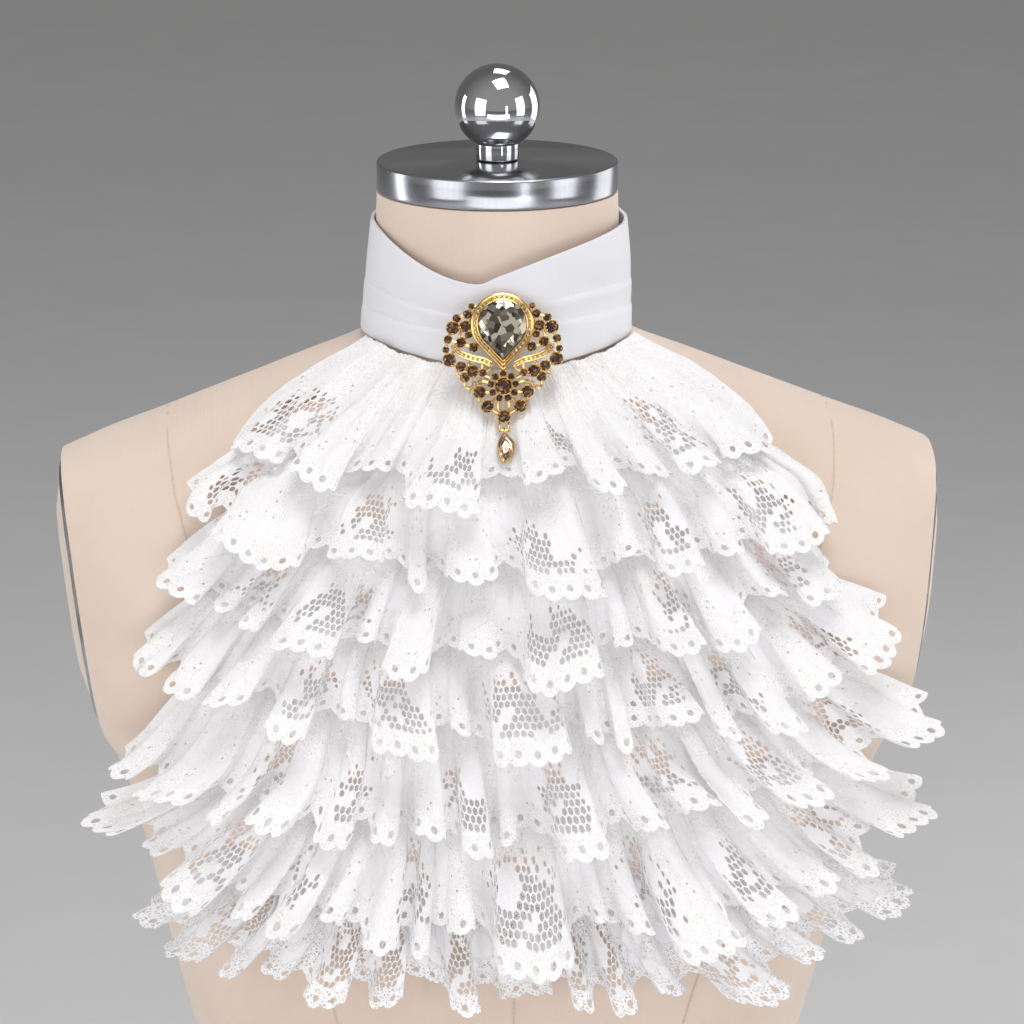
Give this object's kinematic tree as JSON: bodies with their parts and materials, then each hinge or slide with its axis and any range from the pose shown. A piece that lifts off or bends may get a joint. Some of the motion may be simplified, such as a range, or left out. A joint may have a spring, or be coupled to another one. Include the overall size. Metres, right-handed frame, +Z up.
{
  "type": "lace jabot on a dress form",
  "caption": "Tiered lace jabot with a tall neck band and a stone-set brooch with a loose drop, worn by a limbless dress form on a flat base.",
  "frame": {"origin": "centre of the dress form's flat base", "axes": "+Z up the form to its neck; the front, with the ruffles, faces -Y; +X is to the right in the picture"},
  "size_m": [0.3926, 0.2744, 0.7466],
  "materials": {
    "jersey": "matt cotton jersey",
    "steel": "brushed",
    "chrome": "mirror polished",
    "satin": "soft white satin",
    "cotton": "plain white lawn",
    "lace": "white floral lace",
    "shell": "pearly",
    "gold": "gilt",
    "crystal": "faceted, smoky",
    "topaz": "faceted, brown"
  },
  "bodies": {
    "form_and_jabot": {"form_torso": "jersey", "armhole_cap_left": "jersey", "armhole_cap_right": "jersey", "armhole_plate_left": "steel", "armhole_plate_right": "steel", "neck_cap": "steel", "neck_knob": "chrome", "neck_band": "satin", "button_1": "shell", "button_2": "shell", "bib": "cotton", "tier_1": "lace", "tier_2": "lace", "tier_3": "lace", "tier_4": "lace", "tier_5": "lace", "tier_6": "lace", "tier_7": "lace", "brooch_setting": "gold", "brooch_crystal": "crystal"},
    "drop": {"brooch_drop": "topaz"}
  },
  "joints": [
    {"name": "drop_swing", "type": "hinge", "parent": "form_and_jabot", "child": "drop", "pos_m": [-0.002, -0.08392, 0.60223], "axis": [-1, 0, 0], "range_deg": [0, 75]}
  ]
}
